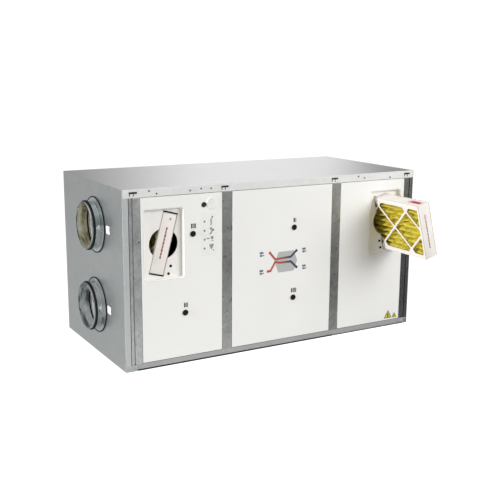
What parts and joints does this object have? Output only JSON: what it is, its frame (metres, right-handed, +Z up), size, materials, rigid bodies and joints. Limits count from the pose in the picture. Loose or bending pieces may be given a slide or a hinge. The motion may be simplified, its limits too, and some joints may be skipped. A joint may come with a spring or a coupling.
{
  "type": "heat recovery unit",
  "caption": "Horizontal heat recovery ventilation unit, outer cover off: steel cabinet, duct spigots, lift-off insulated doors and slanted slide-in filters.",
  "frame": {"origin": "middle of the flat underside of the base pan", "axes": "+X to the right along the length, +Y from the doors to the back, +Z up"},
  "size_m": [1.26, 0.795, 0.6],
  "materials": {
    "galvanised_steel": "hot-dip galvanised sheet with a soft grey spangle, satin",
    "spigot_steel": "bright galvanised spiral-duct steel, semi-gloss",
    "door_paint": "warm off-white powder coat, fine orange peel, semi-matt",
    "tray_plastic": "off-white moulded plastic, matt",
    "insulation_foam": "dark grey closed-cell foam, very matt",
    "black_rubber": "black EPDM rubber, matt",
    "filter_card": "white-faced cardboard with brown core at the cut edges",
    "filter_media": "yellow pleated glass-fibre filter fleece",
    "exchanger_foil": "thin embossed aluminium plates, satin",
    "grey_plastic": "light grey moulded plastic, matt",
    "black_plastic": "black moulded plastic, satin",
    "cast_aluminium": "die-cast aluminium, fine grain",
    "circuit_board": "green solder mask board",
    "indicator_lens": "dark translucent indicator lens, glossy"
  },
  "bodies": {
    "cabinet": {"top_panel": "galvanised_steel", "bottom_pan": "galvanised_steel", "left_side_panel": "galvanised_steel", "right_side_panel": "galvanised_steel", "back_panel": "galvanised_steel", "top_insulation": "insulation_foam", "bottom_insulation": "insulation_foam", "back_insulation": "insulation_foam", "left_insulation": "insulation_foam", "right_insulation": "insulation_foam", "left_outer_rail": "galvanised_steel", "left_inner_rail": "galvanised_steel", "right_inner_rail": "galvanised_steel", "right_outer_rail": "galvanised_steel", "left_filter_guide": "galvanised_steel", "right_filter_guide": "galvanised_steel", "left_upper_spigot": "spigot_steel", "left_lower_spigot": "spigot_steel", "right_upper_spigot": "spigot_steel", "right_lower_spigot": "spigot_steel", "left_upper_lip_seal": "black_rubber", "left_lower_lip_seal": "black_rubber", "right_upper_lip_seal": "black_rubber", "right_lower_lip_seal": "black_rubber", "heat_exchanger_core": "exchanger_foil", "exchanger_top_seal": "insulation_foam", "condensate_tray": "grey_plastic", "condensate_drain": "grey_plastic", "left_divider": "galvanised_steel", "right_divider": "galvanised_steel", "left_fan_plate": "galvanised_steel", "right_fan_plate": "galvanised_steel", "left_fan_motor": "cast_aluminium", "right_fan_motor": "cast_aluminium", "bypass_frame": "galvanised_steel", "bypass_actuator": "black_plastic", "control_box": "grey_plastic", "control_board": "circuit_board", "power_cable_gland": "black_plastic"},
    "left_door_panel": {"left_door": "door_paint", "left_door_insulation": "insulation_foam", "left_filter_tray": "tray_plastic", "status_light_guide": "indicator_lens"},
    "centre_door_panel": {"centre_door": "door_paint", "centre_door_insulation": "insulation_foam"},
    "right_door_panel": {"right_door": "door_paint", "right_door_insulation": "insulation_foam", "right_filter_tray": "tray_plastic"},
    "left_filter": {"left_filter_frame": "filter_card", "left_filter_media": "filter_media"},
    "right_filter": {"right_filter_frame": "filter_card", "right_filter_media": "filter_media"},
    "left_upper_plug": {"left_upper_test_plug": "black_rubber"},
    "left_lower_plug": {"left_lower_test_plug": "black_rubber"},
    "centre_upper_plug": {"centre_upper_test_plug": "black_rubber"},
    "centre_lower_plug": {"centre_lower_test_plug": "black_rubber"},
    "button": {"service_button": "black_plastic"},
    "left_impeller": {"left_fan_impeller": "black_plastic"},
    "right_impeller": {"right_fan_impeller": "black_plastic"},
    "bypass_leaf": {"bypass_blade": "galvanised_steel"}
  },
  "joints": [
    {"name": "left_door_lift_off", "type": "slide", "parent": "cabinet", "child": "left_door_panel", "axis": [0, -1, 0], "range_m": [0, 0.08]},
    {"name": "centre_door_lift_off", "type": "slide", "parent": "cabinet", "child": "centre_door_panel", "axis": [0, -1, 0], "range_m": [0, 0.08]},
    {"name": "right_door_lift_off", "type": "slide", "parent": "cabinet", "child": "right_door_panel", "axis": [0, -1, 0], "range_m": [0, 0.08]},
    {"name": "left_filter_draw", "type": "slide", "parent": "cabinet", "child": "left_filter", "axis": [0, -1, 0], "range_m": [0, 0.5]},
    {"name": "right_filter_draw", "type": "slide", "parent": "cabinet", "child": "right_filter", "axis": [0, -1, 0], "range_m": [-0.2425, 0.2575]},
    {"name": "left_upper_plug_pull", "type": "slide", "parent": "left_door_panel", "child": "left_upper_plug", "axis": [0, -1, 0], "range_m": [0, 0.035]},
    {"name": "left_lower_plug_pull", "type": "slide", "parent": "left_door_panel", "child": "left_lower_plug", "axis": [0, -1, 0], "range_m": [0, 0.035]},
    {"name": "centre_upper_plug_pull", "type": "slide", "parent": "centre_door_panel", "child": "centre_upper_plug", "axis": [0, -1, 0], "range_m": [0, 0.035]},
    {"name": "centre_lower_plug_pull", "type": "slide", "parent": "centre_door_panel", "child": "centre_lower_plug", "axis": [0, -1, 0], "range_m": [0, 0.035]},
    {"name": "service_button_press", "type": "slide", "parent": "left_door_panel", "child": "button", "axis": [0, 1, 0], "range_m": [0, 0.002], "stiffness_N_per_m": 600},
    {"name": "left_fan_spin", "type": "hinge", "parent": "cabinet", "child": "left_impeller", "pos_m": [-0.3, 0, 0.152], "axis": [1, 0, 0], "continuous": true},
    {"name": "right_fan_spin", "type": "hinge", "parent": "cabinet", "child": "right_impeller", "pos_m": [0.3, 0, 0.152], "axis": [1, 0, 0], "continuous": true},
    {"name": "bypass_turn", "type": "hinge", "parent": "cabinet", "child": "bypass_leaf", "pos_m": [0.01, 0.215, 0.415], "axis": [1, 0, 0], "range_deg": [0, 90]}
  ]
}
